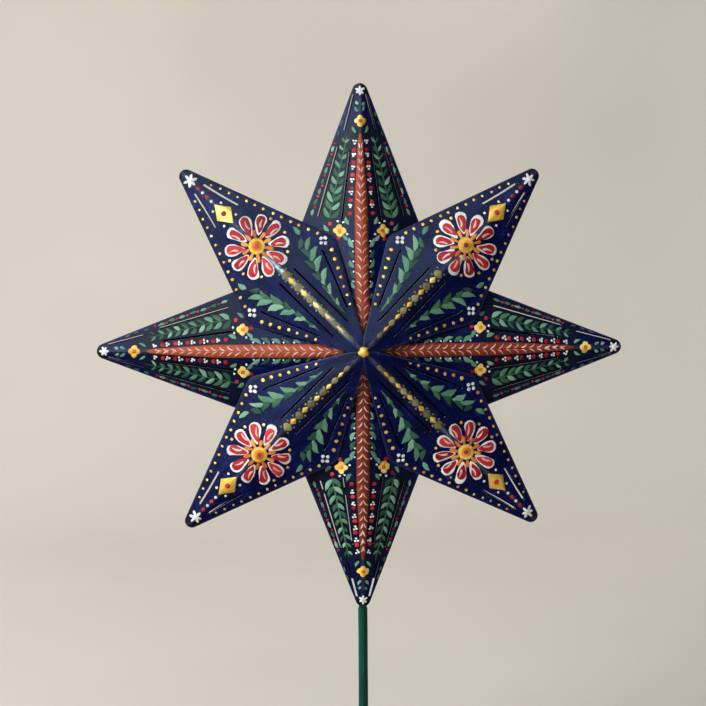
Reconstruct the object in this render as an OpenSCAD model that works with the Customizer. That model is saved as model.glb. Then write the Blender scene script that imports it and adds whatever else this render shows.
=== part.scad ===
// Eight-pointed star tree topper: folded sheet rays around a tie rod, on a coated stake.
// Millimetres, +Z up, the star's front faces -Y, +X is to the right of the front.
// The origin is on the stake's axis, at the lower end of its straight wall.

/* [Main rays] */
// Distance from the star's centre to the round end of an upright or level ray
main_reach = 108.8; // [90:0.2:135]
// Full angle between the two edges of a main ray
main_angle = 42.4; // [35:0.2:51]
// Height of a main ray's ridge line above the rim plane, at the centre
main_rise = 16; // [13:0.5:18]
// Radius of a main ray's round end
main_tip_r = 3.2; // [2:0.1:4]
// Width of the flat edge on which the front and back rays meet
rim = 0.8; // [0.5:0.1:1.2]

/* [Diagonal rays] */
// Distance from the star's centre to the round end of a diagonal ray
diagonal_reach = 103.6; // [86:0.2:125]
// Full angle between the two outer edges of a diagonal ray
diagonal_angle = 40; // [34:0.2:48]
// Height of a diagonal ray's ridge line above the rim plane, at the centre
diagonal_rise = 21; // [19:0.5:26]
// Radius of a diagonal ray's round end
diagonal_tip_r = 3; // [2:0.1:4]
// Distance along a diagonal ray to its two free inner corners
corner_along = 40.3; // [34:0.1:48]
// Radius of the free inner corners
corner_r = 5.3; // [3:0.1:7]
// Distance from the centre to the notch between two diagonal rays
notch_reach = 5.5; // [4.5:0.1:8]
// Length at the end of a diagonal ray where its front and back meet
tip_lap = 1; // [0.5:0.1:2]

/* [Sheet] */
// Thickness of the sheet metal
sheet = 0.5; // [0.4:0.05:0.7]
// Gap between the free corners of a diagonal ray and the main rays under them
lap_gap = 0.15; // [0.1:0.05:0.4]
// Gap along the seam between two neighbouring rays
seam_gap = 0.1; // [0.05:0.05:0.2]
// Depth by which the peak of each ray is pressed flat around the tie rod
land_drop = 1; // [0.9:0.1:1.4]

/* [Slits] */
// Width of every slit
slit_w = 0.8; // [0.6:0.1:1.4]
// Slit near the end of a main ray: its two distances back from the sharp point
main_tip_slit = [10.2, 24.7]; // [8:0.1:30]
// Share of the ray's half width at which that slit runs
main_tip_share = 0.66; // [0.6:0.01:0.7]
// Outer long slit of a main ray: its two distances back from the sharp point
main_outer_slit = [31.2, 59.7]; // [28:0.1:65]
// Share of the ray's half width at which that slit runs
main_outer_share = 0.75; // [0.65:0.01:0.8]
// Inner long slit of a main ray: its two distances back from the sharp point
main_inner_slit = [33, 61.7]; // [28:0.1:65]
// Share of the ray's half width at which that slit runs
main_inner_share = 0.33; // [0.32:0.01:0.45]
// Slit near the end of a diagonal ray: its two distances back from the sharp point
diagonal_tip_slit = [15.8, 31.9]; // [12:0.1:36]
// Shares of the ray's half width at that slit's two ends
diagonal_tip_share = [0.45, 0.57]; // [0.4:0.01:0.6]
// Slit beside the ridge of a diagonal ray: its two distances from the centre
ridge_slit = [12.7, 43]; // [11:0.1:46]
// Distance of that slit from the ridge
ridge_slit_side = 4.2; // [3:0.1:5.5]
// Slit beside the free inner edge of a diagonal ray: its two distances from the centre
edge_slit = [17, 40.3]; // [16:0.1:42]
// Share of the ray's half width at which that slit runs
edge_slit_share = 0.71; // [0.65:0.01:0.78]
// Shift of the back main rays' slits, left and up from the front, so that little light comes through
back_slit_shift = 0.55; // [0:0.05:0.6]

/* [Centre] */
// Radius of the tie rod that holds the rays at the centre
rod_r = 1.5; // [1.2:0.1:1.8]
// Clearance around the tie rod in every hole it passes
rod_gap = 0.1; // [0.05:0.05:0.2]
// Radius of the domed caps on the tie rod
cap_r = 2.4; // [2:0.1:2.6]
// Height of the domed caps
cap_h = 1.9; // [1.6:0.1:2.4]
// Height of the upright edge of the domed caps
cap_edge = 0.4; // [0.2:0.1:0.8]
// Depth to which the tie rod enters each cap
cap_bite = 1; // [0.8:0.1:1.2]
// Outer radius of the spacers on the tie rod
spacer_r = 2.3; // [2.1:0.1:2.6]

/* [Socket] */
// Wall of the socket tube inside the star
tube_wall = 0.5; // [0.4:0.1:0.8]
// Space in depth between the socket tube's mouth and the lowest back ray
mouth_clear = 1.2; // [0.6:0.1:2]
// Distance from the star's centre up to the socket tube's top end
tube_top = 6; // [4:0.5:10]
// Distance from the star's centre down to the stop that the stake's end meets
stop_drop = 10; // [9:0.5:16]
// Length of the stop plug in the socket tube
stop_len = 5; // [3:0.5:6]
// Wall of the plastic bush that lines the socket tube
bush_wall = 0.6; // [0.4:0.1:0.9]
// Distance between the bush's upper end and the stop plug
bush_end_gap = 10; // [4:1:20]
// Thickness of the bush's flange under the tube's mouth
bush_flange = 1; // [0.8:0.1:1.6]
// Distance from the tube's mouth up to the saddle that steadies the tube
saddle_above = 7; // [3:0.5:12]
// Thickness of the saddle
saddle_t = 1.5; // [1:0.1:2]

/* [Stake] */
// Radius of the coated stake
stake_r = 2; // [1.6:0.1:2.4]
// Step by which the stake is thinner above its free length
neck_step = 0.3; // [0.25:0.05:0.35]
// Radius of the stake's steel core
core_r = 1.3; // [0.9:0.1:1.4]
// Length of stake below the star's lowest point
stake_exposed = 150; // [60:1:240]
// Length just below the star that belongs to the thinner neck
neck_drop = 1; // [0.5:0.5:6]
// Length of the pointed foot
foot_len = 9; // [6:0.5:14]
// Radius of the foot's blunt end
foot_end_r = 0.5; // [0.3:0.1:0.9]
// Thickness of the cap on the stake's upper end
stake_cap_t = 1.5; // [1:0.1:2]
// Space between the stake and the rim plane of the front rays
stake_clear = 0.3; // [0.3:0.05:0.8]
// Space at each side of the stake in the slot of the lowest back ray
slot_clear = 0.6; // [0.5:0.1:1]
// Distance back from the sharp point at which the lowest back ray is cut short
slot_tip_cut = 17.5; // [14:0.5:24]

/* [Fits] */
// Radial clearance of a turning or sliding fit
run_fit = 0.05; // [0.02:0.01:0.1]
// Radial clearance of a fit that stays put
push_fit = 0.02; // [0.01:0.01:0.05]
// Gap around a piece that is soldered in place
solder_gap = 0.1; // [0.05:0.05:0.2]

/* [Hidden] */

$fn = 64;
arc_steps = 8;
dome_steps = 6;
overrun = 1;

// Directions of the rays, in degrees from the right towards the top, seen from the front
top = 90;
right = 0;
bottom = -90;
left = 180;
upper_right = 45;
lower_right = -45;
lower_left = -135;
upper_left = 135;

// Main rays: sharp point, inner ridge run, sideways fall of the facets, height of the sheet
main_half = main_angle / 2;
main_sharp = main_reach - main_tip_r + main_tip_r / sin(main_half);
main_run = main_sharp - rim / sin(main_half);
main_fall = main_rise / (main_run * tan(main_half));
main_lift = sheet * sqrt(1 + pow(main_rise / main_run, 2) + pow(main_fall, 2));

// The seam lines run at 45 degrees to each ray, set back by half the seam gap
seam_set = seam_gap / sqrt(2);
valley = (main_sharp * tan(main_half) + seam_set) / (1 + tan(main_half));

// Diagonal rays: the free corners lie just clear of the main rays, which sets the facets' fall
diagonal_half = diagonal_angle / 2;
diagonal_sharp = diagonal_reach - diagonal_tip_r + diagonal_tip_r / sin(diagonal_half);
diagonal_run = diagonal_reach - tip_lap;
corner_side = (diagonal_sharp - corner_along) * tan(diagonal_half);
corner_on_main = [corner_along + corner_side, abs(corner_along - corner_side)] / sqrt(2);
corner_height = main_rise * (1 - corner_on_main.x / main_run) - main_fall * corner_on_main.y
    + main_lift + lap_gap;
diagonal_fall = (diagonal_rise * (1 - corner_along / diagonal_run) - corner_height) / corner_side;
diagonal_lift = sheet * sqrt(1 + pow(diagonal_rise / diagonal_run, 2) + pow(diagonal_fall, 2));
notch = notch_reach / sqrt(2);
notch_slope = (corner_side - notch + seam_set) / (corner_along - notch);

// Half the size of the blocks that stand for a space with no end
far = main_reach + diagonal_rise + main_tip_r;

// Heights of the pressed lands above the rim plane: inner and outer faces
main_land_in = main_rise - land_drop;
main_land_out = main_land_in + main_lift;
diagonal_land_in = diagonal_rise - land_drop;
diagonal_land_out = diagonal_land_in + diagonal_lift;
rod_hole_r = rod_r + rod_gap;

// Stake, bush and tube share one axis, a little behind the rim plane
axis_set = stake_r + stake_clear;
star_z = stake_exposed + main_reach;
neck_r = stake_r - neck_step;
neck_z = stake_exposed - neck_drop;
stake_top_z = star_z - stop_drop;
bush_bore_r = neck_r + run_fit;
bush_r = bush_bore_r + bush_wall;
tube_bore_r = bush_r + run_fit;
tube_r = tube_bore_r + tube_wall;
tube_drop = main_run * (1 - (axis_set + tube_r + mouth_clear) / main_rise);
mouth_z = star_z - tube_drop;
bush_len = tube_drop - stop_drop - bush_end_gap;

// Slot in the lowest back ray: it starts where the sheet comes down to the stake
slot_half = stake_r + slot_clear;
slot_depth = axis_set + stake_r + slot_clear;
slot_start = main_run * (1 - slot_depth / main_rise) - slot_half;

// Saddle: the hollow's section at the saddle's lower face, less the solder gap
saddle_drop = tube_drop - saddle_above;
saddle_deep = main_rise * (1 - saddle_drop / main_run) - solder_gap;
saddle_wide = saddle_deep / main_fall;

function unit(v) = v / norm(v);

// Points of an arc that rounds corner b of the outline a, b, c
function round_corner(a, b, c, r) =
    let (
        back = unit(a - b),
        ahead = unit(c - b),
        half = acos(back * ahead) / 2,
        centre = b + unit(back + ahead) * r / sin(half),
        from = b + back * r / tan(half) - centre,
        to = b + ahead * r / tan(half) - centre,
        start = atan2(from.y, from.x),
        turn = atan2(from.x * to.y - from.y * to.x, from * to)
    )
    [for (i = [0:arc_steps])
        let (at = start + turn * i / arc_steps)
        centre + r * [cos(at), sin(at)]];

// Outline whose corners are [x, y, radius], with a radius of 0 for a sharp corner
function rounded(corners) =
    let (n = len(corners), at = [for (c = corners) [c.x, c.y]])
    [for (i = [0:n - 1])
        each corners[i].z > 0
            ? round_corner(at[(i + n - 1) % n], at[i], at[(i + 1) % n], corners[i].z)
            : [at[i]]];

function main_outline() = rounded([
    [seam_set, 0, 0],
    [valley, seam_set - valley, 0],
    [main_sharp, 0, main_tip_r],
    [valley, valley - seam_set, 0]
]);

function diagonal_outline() = rounded([
    [seam_set, 0, 0],
    [notch, seam_set - notch, 0],
    [corner_along, -corner_side, corner_r],
    [diagonal_sharp, 0, diagonal_tip_r],
    [corner_along, corner_side, corner_r],
    [notch, notch - seam_set, 0]
]);

// Half width of a main ray, a distance back from its sharp point
function main_width(back) = back * tan(main_half);

// Half width of a diagonal ray outside its free corners, a distance back from its sharp point
function diagonal_width(back) = back * tan(diagonal_half);

// Half width of a diagonal ray inside its free corners, a distance from the centre
function inner_width(along) = notch - seam_set + (along - notch) * notch_slope;

// A point of a slit, given its distance back from the point of a main or diagonal ray
function on_main(back, share) = [main_sharp - back, main_width(back) * share];
function on_diagonal(back, share) = [diagonal_sharp - back, diagonal_width(back) * share];

// Solid under two facets that fall from a ridge, which slopes from [0, 0, rise] to [run, 0, 0]
module under_facets(rise, run, fall) {
    tilt = atan(rise / run);
    eaves = -far * fall * cos(tilt);
    translate([0, 0, rise])
        rotate([0, tilt, 0])
            translate([-far, 0, 0])
                rotate([90, 0, 90])
                    linear_extrude(2 * far + rise)
                        polygon([
                            [0, 0],
                            [far, eaves],
                            [far, eaves - far],
                            [-far, eaves - far],
                            [-far, eaves]
                        ]);
}

// Folded sheet ray along +X, its rim in the plane z = 0; children are cut away
module folded_ray(outline, rise, run, fall, lift) {
    difference() {
        intersection() {
            linear_extrude(rise - land_drop + lift)
                polygon(outline);
            translate([0, 0, lift])
                under_facets(rise, run, fall);
        }
        intersection() {
            under_facets(rise, run, fall);
            translate([-far, -far, -far])
                cube([3 * far, 2 * far, far + rise - land_drop]);
        }
        translate([0, 0, -overrun])
            cylinder(r = rod_hole_r, h = rise + 2 * overrun);
        children();
    }
}

// Slit from one point to another, cut straight through along the star's depth
module slit(from, to) {
    along = to - from;
    translate([from.x, from.y, -overrun])
        rotate([0, 0, atan2(along.y, along.x)])
            translate([0, -slit_w / 2, 0])
                cube([norm(along), slit_w, diagonal_rise + 2 * overrun]);
}

// The same slit at both sides of the ridge
module slit_pair(from, to) {
    slit(from, to);
    mirror([0, 1, 0])
        slit(from, to);
}

module main_long_slits() {
    slit_pair(on_main(main_outer_slit[1], main_outer_share), on_main(main_outer_slit[0], main_outer_share));
    slit_pair(on_main(main_inner_slit[1], main_inner_share), on_main(main_inner_slit[0], main_inner_share));
}

module main_tip_slits() {
    slit_pair(on_main(main_tip_slit[1], main_tip_share), on_main(main_tip_slit[0], main_tip_share));
}

module diagonal_slits() {
    slit_pair(
        on_diagonal(diagonal_tip_slit[1], diagonal_tip_share[1]),
        on_diagonal(diagonal_tip_slit[0], diagonal_tip_share[0])
    );
    slit_pair([ridge_slit[0], ridge_slit_side], [ridge_slit[1], ridge_slit_side]);
    slit_pair(
        [edge_slit[0], inner_width(edge_slit[0]) * edge_slit_share],
        [edge_slit[1], inner_width(edge_slit[1]) * edge_slit_share]
    );
}

// Shift across a back main ray of its slits, seen from the front
function back_slip(angle) = back_slit_shift * (cos(angle) + sin(angle));

// Slot that lets the stake into the lowest back ray, whose tip is cut short
module stake_slot() {
    cut = main_sharp - slot_tip_cut;
    translate([0, 0, -overrun])
        linear_extrude(main_rise + 2 * overrun)
            polygon(rounded([
                [cut, -far, 0],
                [far, -far, 0],
                [far, far, 0],
                [cut, far, 0],
                [cut, slot_half, 0],
                [slot_start, slot_half, slot_half - push_fit],
                [slot_start, -slot_half, slot_half - push_fit],
                [cut, -slot_half, 0]
            ]));
}

// Places the star's own frame, X right, Y up and Z towards the viewer, on the stake
module in_star() {
    translate([0, -axis_set, star_z])
        rotate([90, 0, 0])
            children();
}

module at_back() {
    mirror([0, 0, 1])
        children();
}

module main_ray(slip) {
    folded_ray(main_outline(), main_rise, main_run, main_fall, main_lift)
        translate([0, slip, 0]) {
            main_long_slits();
            main_tip_slits();
        }
}

module slotted_main_ray(slip) {
    folded_ray(main_outline(), main_rise, main_run, main_fall, main_lift) {
        translate([0, slip, 0])
            main_long_slits();
        stake_slot();
    }
}

module diagonal_ray() {
    folded_ray(diagonal_outline(), diagonal_rise, diagonal_run, diagonal_fall, diagonal_lift)
        diagonal_slits();
}

module front_main_ray(angle) {
    color("midnightblue")
        in_star()
            rotate([0, 0, angle])
                main_ray(0);
}

module back_main_ray(angle) {
    color("midnightblue")
        in_star()
            at_back()
                rotate([0, 0, angle])
                    main_ray(back_slip(angle));
}

module back_main_ray_bottom() {
    color("midnightblue")
        in_star()
            at_back()
                rotate([0, 0, bottom])
                    slotted_main_ray(back_slip(bottom));
}

module front_diagonal_ray(angle) {
    color("navy")
        in_star()
            rotate([0, 0, angle])
                diagonal_ray();
}

module back_diagonal_ray(angle) {
    color("navy")
        in_star()
            at_back()
                rotate([0, 0, angle])
                    diagonal_ray();
}

module tie_rod() {
    half_len = diagonal_land_out + cap_bite - push_fit;
    color("silver")
        in_star()
            translate([0, 0, -half_len])
                cylinder(r = rod_r, h = 2 * half_len);
}

// Point of the cap's dome, which stands on an upright edge, from its foot to its top
function dome_point(i, edge) =
    let (at = 90 * i / dome_steps)
    [cap_r * cos(at), edge + (cap_h - edge) * sin(at)];

// Domed cap with a blind hole, seated on the pressed land of the diagonal rays
module cap() {
    bore_r = rod_r + push_fit;
    translate([0, 0, diagonal_land_out])
        rotate_extrude()
            polygon([
                [bore_r, 0],
                [cap_r, 0],
                for (i = [0:dome_steps - 1]) dome_point(i, cap_edge),
                [0, cap_h],
                [0, cap_bite],
                [bore_r, cap_bite]
            ]);
}

module front_cap() {
    color("goldenrod")
        in_star()
            cap();
}

module back_cap() {
    color("goldenrod")
        in_star()
            at_back()
                cap();
}

// Ring on the tie rod, between two heights above the rim plane
module ring(low, high) {
    translate([0, 0, low])
        difference() {
            cylinder(r = spacer_r, h = high - low);
            translate([0, 0, -overrun])
                cylinder(r = rod_hole_r, h = high - low + 2 * overrun);
        }
}

module front_spacer() {
    color("gray")
        in_star()
            ring(main_land_out, diagonal_land_in);
}

module back_spacer() {
    color("gray")
        in_star()
            at_back()
                ring(main_land_out, diagonal_land_in);
}

// Space that a ring must leave for the socket tube
module tube_space() {
    rotate([90, 0, 0])
        translate([0, -axis_set, -far])
            cylinder(r = tube_r + solder_gap, h = 2 * far);
}

module front_sleeve() {
    color("gray")
        in_star()
            difference() {
                ring(-axis_set, main_land_in);
                tube_space();
            }
}

module back_sleeve() {
    color("gray")
        in_star()
            difference() {
                at_back()
                    ring(axis_set, main_land_in);
                tube_space();
            }
}

module socket_tube() {
    color("lightsteelblue")
        translate([0, 0, mouth_z])
            difference() {
                cylinder(r = tube_r, h = tube_drop + tube_top);
                translate([0, 0, -overrun])
                    cylinder(r = tube_bore_r, h = tube_drop + tube_top + 2 * overrun);
                translate([0, tube_r + overrun, tube_drop])
                    rotate([90, 0, 0])
                        cylinder(r = rod_hole_r, h = 2 * (tube_r + overrun));
            }
}

module stop_plug() {
    color("dimgray")
        translate([0, 0, stake_top_z])
            cylinder(r = tube_bore_r - push_fit, h = stop_len);
}

// Lozenge plate that fills the hollow of the lowest rays and holds the tube's lower end
module tube_saddle() {
    color("lightsteelblue")
        difference() {
            translate([0, -axis_set, star_z - saddle_drop])
                linear_extrude(saddle_t)
                    polygon([[saddle_wide, 0], [0, saddle_deep], [-saddle_wide, 0], [0, -saddle_deep]]);
            translate([0, 0, star_z - saddle_drop - overrun])
                cylinder(r = tube_r + push_fit, h = saddle_t + 2 * overrun);
        }
}

module grip_bush() {
    color("ivory")
        translate([0, 0, mouth_z])
            difference() {
                union() {
                    cylinder(r = bush_r, h = bush_len);
                    translate([0, 0, -bush_flange])
                        cylinder(r = tube_r, h = bush_flange);
                }
                translate([0, 0, -bush_flange - overrun])
                    cylinder(r = bush_bore_r, h = bush_len + bush_flange + 2 * overrun);
            }
}

module stake_core() {
    color("silver")
        cylinder(r = core_r, h = stake_top_z - stake_cap_t);
}

module stake_coat() {
    color("seagreen")
        difference() {
            union() {
                cylinder(r = stake_r, h = neck_z);
                cylinder(r = neck_r, h = stake_top_z - stake_cap_t);
            }
            translate([0, 0, -overrun])
                cylinder(r = core_r + push_fit, h = stake_top_z + 2 * overrun);
        }
}

module stake_foot() {
    color("seagreen")
        translate([0, 0, -foot_len])
            cylinder(r1 = foot_end_r, r2 = stake_r, h = foot_len);
}

module stake_cap() {
    edge = stake_cap_t / 3;
    color("seagreen")
        translate([0, 0, stake_top_z - stake_cap_t]) {
            cylinder(r = neck_r, h = stake_cap_t - edge);
            translate([0, 0, stake_cap_t - edge])
                cylinder(r1 = neck_r, r2 = neck_r - edge, h = edge);
        }
}

front_main_ray(top);  // front_main_ray_top
front_main_ray(right);  // front_main_ray_right
front_main_ray(bottom);  // front_main_ray_bottom
front_main_ray(left);  // front_main_ray_left
front_diagonal_ray(upper_right);  // front_diagonal_ray_upper_right
front_diagonal_ray(lower_right);  // front_diagonal_ray_lower_right
front_diagonal_ray(lower_left);  // front_diagonal_ray_lower_left
front_diagonal_ray(upper_left);  // front_diagonal_ray_upper_left
back_main_ray(top);  // back_main_ray_top
back_main_ray(right);  // back_main_ray_right
back_main_ray_bottom();
back_main_ray(left);  // back_main_ray_left
back_diagonal_ray(upper_right);  // back_diagonal_ray_upper_right
back_diagonal_ray(lower_right);  // back_diagonal_ray_lower_right
back_diagonal_ray(lower_left);  // back_diagonal_ray_lower_left
back_diagonal_ray(upper_left);  // back_diagonal_ray_upper_left
tie_rod();
front_cap();
back_cap();
front_spacer();
back_spacer();
front_sleeve();
back_sleeve();
socket_tube();
stop_plug();
tube_saddle();
grip_bush();
stake_core();
stake_coat();
stake_foot();
stake_cap();
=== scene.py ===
"""Looks of the star tree topper: painted sheet rays, brushed ornaments, gold caps and a coated stake.

Shapes are worked out in millimetres in a ray's own frame: x runs from the star's centre along the ridge,
y to the ray's left seen from outside, and w out of the rim plane. Meshes are written in metres.
"""

import math

import bpy
import numpy as np
from mathutils import Matrix, Vector


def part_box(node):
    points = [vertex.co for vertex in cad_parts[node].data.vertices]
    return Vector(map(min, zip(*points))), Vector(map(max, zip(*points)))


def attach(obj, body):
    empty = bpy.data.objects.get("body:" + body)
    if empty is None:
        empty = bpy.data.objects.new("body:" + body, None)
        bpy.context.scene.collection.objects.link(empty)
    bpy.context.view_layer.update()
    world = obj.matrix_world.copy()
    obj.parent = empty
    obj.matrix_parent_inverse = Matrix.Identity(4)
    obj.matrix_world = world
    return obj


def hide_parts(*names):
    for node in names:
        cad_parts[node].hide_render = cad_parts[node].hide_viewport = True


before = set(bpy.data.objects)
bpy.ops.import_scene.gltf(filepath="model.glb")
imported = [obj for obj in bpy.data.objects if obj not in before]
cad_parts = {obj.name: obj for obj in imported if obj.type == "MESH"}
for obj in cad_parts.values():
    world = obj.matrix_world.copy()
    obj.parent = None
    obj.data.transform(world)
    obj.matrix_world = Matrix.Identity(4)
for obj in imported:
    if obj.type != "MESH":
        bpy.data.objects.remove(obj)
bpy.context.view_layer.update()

MM = 0.001
RNG = np.random.default_rng(20)

# Places read from the frame
STAR_X, RIM_Y, STAR_Z = ((low + high) / 2 for low, high in zip(*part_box("tie_rod")))
LOWEST_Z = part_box("stake_foot")[0].z

# Flat rim of the main rays, and free inner corners, notch and tip of the diagonal ones
RIM = 0.8
CORNER_ALONG = 40.3
CORNER_R = 5.3
NOTCH_REACH = 5.5
TIP_LAP = 1.0

# Sheet
SHEET = 0.5
LAP_GAP = 0.15
SEAM_SET = 0.07
LAND_DROP = 1.0
FOLD_R = 0.7
LAND_SOFT = 0.5
RIM_EDGE = 0.22
EDGE_ROUND = 0.3
EDGE_DROP = 0.1
DENT = 0.12
DENT_INSET = 5
SLIT_HALF = 0.4
BACK_SLIT_SHIFT = 0.55
INNER_START = 1.3

# Slot of the lowest back ray, which is cut short; slits near the cut end are left out
SLOT_HALF = 2.6
SLOT_START = 75.26
SLOT_CUT = 96.95
SLOT_WHOLE = SLOT_CUT - 10

# Rows of a ray's grid, and its columns: parts between the lines at the fold, the slits and the edge
ROW_STEP = 1.4
TIP_ROWS = 10
COLUMN_PARTS = [1, 1, 4, 1, 4, 1, 4, 1]
COLUMN_PLACES = np.array([line + k / n for line, n in enumerate(COLUMN_PARTS) for k in range(n)] + [8.0])
SLIT_LINES = [3, 4, 5, 6]

# Paint: millimetres to a unit of the UV map, and how far pieces are shifted in it by chance
PAINT_UNIT = 10
PAINT_SPREAD = 40

WAYS_MAIN = {"top": 90, "right": 0, "bottom": -90, "left": 180}
WAYS_DIAGONAL = {"upper_right": 45, "lower_right": -45, "lower_left": -135, "upper_left": 135}
SIDES = {"front": 1, "back": -1}


def srgb(red, green, blue):
    """Linear colour of an sRGB one from 0 to 255: c / 12.92 near black, else ((c + 0.055) / 1.055)^2.4."""
    c = np.array([red, green, blue]) / 255
    linear = np.where(c <= 0.04045, c / 12.92, ((c + 0.055) / 1.055) ** 2.4)
    return (*linear.tolist(), 1.0)


def round_end(fold, x, width):
    """Half width of a ray whose last part is replaced by the arc of its round end."""
    centre = fold.reach - fold.tip_r
    arc = np.sqrt(np.maximum(fold.tip_r**2 - (x - centre) ** 2, 0))
    return np.where(x > centre + fold.tip_r * math.sin(fold.half), arc, width)


class MainFold:
    """Shape of a main ray: two flat facets that fall from a sloping ridge to a flat rim."""

    half = math.radians(21.2)
    rise = 16.0
    reach = (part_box("front_main_ray_top")[1].z - STAR_Z) / MM
    tip_r = 3.2
    sharp = reach - tip_r + tip_r / math.sin(half)
    run = sharp - RIM / math.sin(half)
    fall = rise / (run * math.tan(half))
    lift = SHEET * math.sqrt(1 + (rise / run) ** 2 + fall**2)
    thin = 0.114
    # Ranges of x in which the inner and the outer lane are cut
    slits = [(sharp - 61.7, sharp - 33.0)], [(sharp - 59.7, sharp - 31.2), (sharp - 24.7, sharp - 10.2)]
    inner_share = 0.33
    # Shares of the outer lane at places measured from the sharp end
    outer_places = (24.7, 31.2, sharp - 18, sharp)
    outer_shares = (0.66, 0.75, 0.75, 0.6)

    @classmethod
    def half_width(cls, x):
        """Seam line at 45 degrees, then the straight edge, then the arc of the round end."""
        outer = round_end(cls, x, (cls.sharp - x) * math.tan(cls.half))
        return np.minimum(outer, x - SEAM_SET)

    @classmethod
    def lanes(cls, x):
        """Distances from the ridge of the two lines that the slits follow: shares of the half width."""
        width = cls.half_width(x)
        share = np.interp(cls.sharp - x, cls.outer_places, cls.outer_shares)
        return width * cls.inner_share, width * share


class DiagonalFold:
    """Shape of a diagonal ray: a folded kite whose free inner corners lie just over the main rays."""

    half = math.radians(20.0)
    rise = 21.0
    tip_r = 3.0
    reach = (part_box("front_diagonal_ray_upper_right")[1].x / MM - tip_r) * math.sqrt(2) + tip_r
    sharp = reach - tip_r + tip_r / math.sin(half)
    run = reach - TIP_LAP
    corner_side = (sharp - CORNER_ALONG) * math.tan(half)
    on_main_x = (CORNER_ALONG + corner_side) / math.sqrt(2)
    on_main_y = abs(CORNER_ALONG - corner_side) / math.sqrt(2)
    corner_height = MainFold.rise * (1 - on_main_x / MainFold.run) - MainFold.fall * on_main_y
    corner_height += MainFold.lift + LAP_GAP
    fall = (rise * (1 - CORNER_ALONG / run) - corner_height) / corner_side
    lift = SHEET * math.sqrt(1 + (rise / run) ** 2 + fall**2)
    notch = NOTCH_REACH / math.sqrt(2)
    slope = (corner_side - notch + SEAM_SET) / (CORNER_ALONG - notch)
    thin = 0.09
    ridge_slit = (12.7, 43.0)
    edge_slit = (17.0, 40.3)
    tip_slit = (sharp - 31.9, sharp - 15.8)
    # Ranges of x in which the ridge lane and the edge lane are cut
    slits = [ridge_slit], [edge_slit, tip_slit]
    ridge_lane = 4.2
    edge_shares = (0.71, 0.57, 0.45)

    @classmethod
    def half_width(cls, x):
        """Seam line, notch edge, arc round the free corner, straight outer edge and arc of the round end."""
        tan = math.tan(cls.half)
        inner_len, outer_len = math.hypot(1, cls.slope), math.hypot(1, tan)
        inner = cls.notch - SEAM_SET + (x - cls.notch) * cls.slope
        outer = (cls.sharp - x) * tan
        bend_x = CORNER_ALONG + CORNER_R * (inner_len - outer_len) / (cls.slope + tan)
        bend_y = (cls.sharp - bend_x) * tan - CORNER_R * outer_len
        bend = bend_y + np.sqrt(np.maximum(CORNER_R**2 - (x - bend_x) ** 2, 0))
        from_x = bend_x - CORNER_R * cls.slope / inner_len
        to_x = bend_x + CORNER_R * tan / outer_len
        width = np.where(x < from_x, inner, np.where(x < to_x, bend, outer))
        return np.minimum(round_end(cls, x, width), x - SEAM_SET)

    @classmethod
    def lanes(cls, x):
        """Distances from the ridge of the two lines that the slits follow."""
        width = cls.half_width(x)
        ridge_share = np.interp(x, [cls.ridge_slit[1] + 2, 60], [1, 0])
        first = ridge_share * np.minimum(cls.ridge_lane, 0.5 * width) + (1 - ridge_share) * 0.18 * width
        share = np.interp(x, [cls.edge_slit[1], *cls.tip_slit], cls.edge_shares)
        return first, width * share


def outer_height(fold, x, y):
    """Height of a ray's painted face: a ridge with a small fold radius, pressed flat around the tie rod.

    roof = rise (1 - x / run) - fall sqrt(y^2 + fold radius^2) + sheet, joined to the flat land by a smooth
    minimum; the dents are the product of two slow waves, and fade out at the edges.
    """
    roof = fold.rise * (1 - x / fold.run) - fold.fall * np.sqrt(y**2 + FOLD_R**2) + fold.lift
    land = fold.rise - LAND_DROP + fold.lift
    low = (roof + land - np.sqrt((roof - land) ** 2 + LAND_SOFT**2)) / 2
    inside = np.clip((fold.half_width(x) - np.abs(y)) / DENT_INSET, 0, 1)
    dents = np.sin(x * 0.31 + 2.1 * np.sin(y * 0.23)) * np.sin(y * 0.37 + 0.05 * x)
    return np.maximum(low + DENT * inside * (dents - 0.4), RIM_EDGE)


def place(x, y, w, angle, side):
    """Points in the row frame, in metres, of points in the frame of the ray at an angle on one side."""
    cos, sin = math.cos(math.radians(angle)), math.sin(math.radians(angle))
    across = STAR_X + (x * cos - y * sin) * MM
    up = STAR_Z + (x * sin + y * cos) * MM
    return np.stack([across, RIM_Y - side * w * MM, up], axis=-1)


def closed_sheet(outer, inner, mask):
    """Vertices and quads of closed patches: outer faces, inner faces and walls along every open border.

    outer and inner have the shape (patches, rows, columns, 3); mask (rows - 1, columns - 1) keeps cells.
    """
    count, rows, cols = outer.shape[:3]
    back = rows * cols
    index = np.arange(back).reshape(rows, cols)
    a, b, c, d = index[:-1, :-1], index[1:, :-1], index[1:, 1:], index[:-1, 1:]
    wide = np.pad(mask, 1)
    borders = [
        (a, b, mask & ~wide[1:-1, :-2]),
        (b, c, mask & ~wide[2:, 1:-1]),
        (c, d, mask & ~wide[1:-1, 2:]),
        (d, a, mask & ~wide[:-2, 1:-1]),
    ]
    quads = [np.stack([a[mask], b[mask], c[mask], d[mask]], axis=-1)]
    quads.append(quads[0][:, ::-1] + back)
    for p, q, edge in borders:
        quads.append(np.stack([q[edge], p[edge], p[edge] + back, q[edge] + back], axis=-1))
    kinds = np.concatenate([np.full(len(part), min(i, 2)) for i, part in enumerate(quads)])
    starts = np.arange(count)[:, None, None] * 2 * back
    faces = (np.concatenate(quads) + starts).reshape(-1, 4)
    points = np.concatenate([outer.reshape(count, -1, 3), inner.reshape(count, -1, 3)], axis=1)
    return points.reshape(-1, 3), faces, np.tile(kinds, count)


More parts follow.
